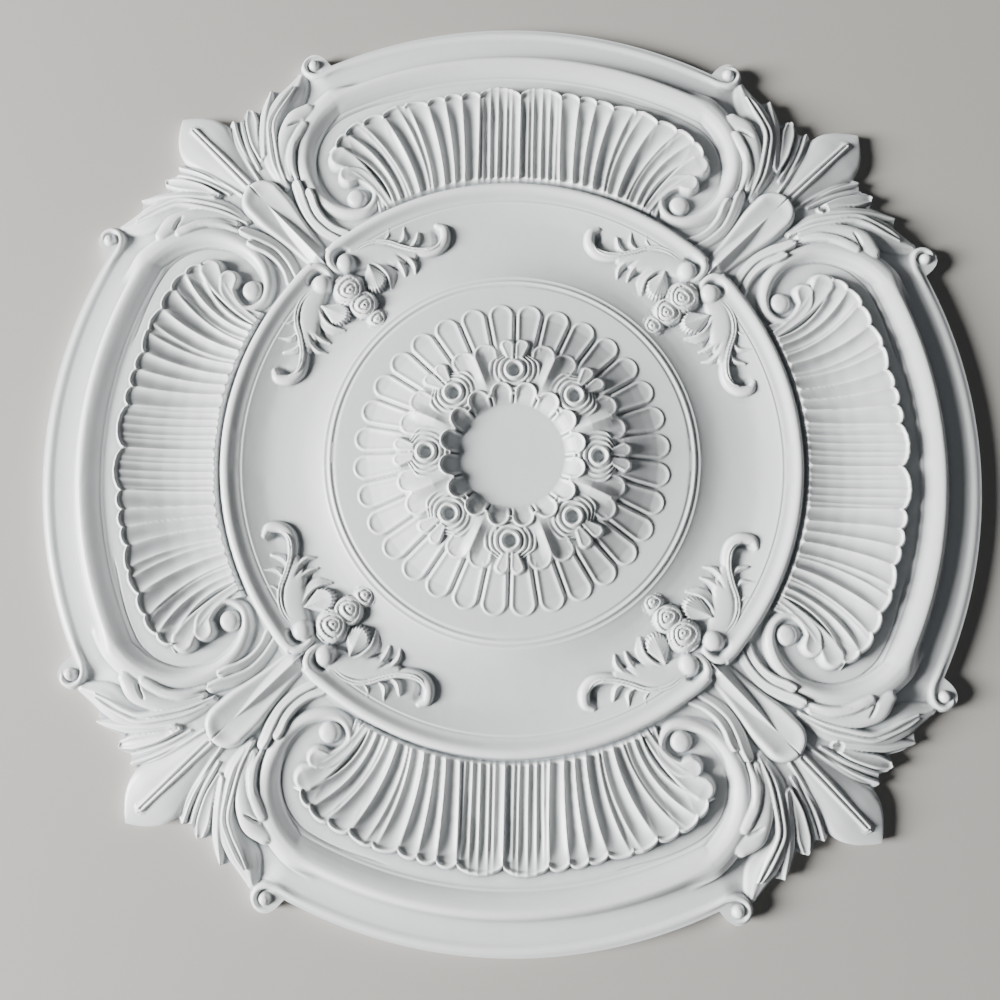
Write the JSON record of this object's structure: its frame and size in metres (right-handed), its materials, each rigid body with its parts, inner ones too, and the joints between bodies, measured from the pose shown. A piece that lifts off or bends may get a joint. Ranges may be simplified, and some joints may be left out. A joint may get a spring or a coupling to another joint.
{
  "type": "ceiling rose",
  "caption": "Large moulded ceiling rose with a petalled boss, fluted scroll-ended lobes and leaf corners, in matt white.",
  "frame": {"origin": "centre of the flat back face", "axes": "+Z out of the decorated face, +X and +Y along the middles of two neighbouring fluted lobes, leaf corners on the diagonals"},
  "size_m": [0.9, 0.9, 0.0475],
  "materials": {
    "painted_casting": "satin"
  },
  "bodies": {
    "root": {"ceiling_rose": "painted_casting"}
  },
  "joints": []
}
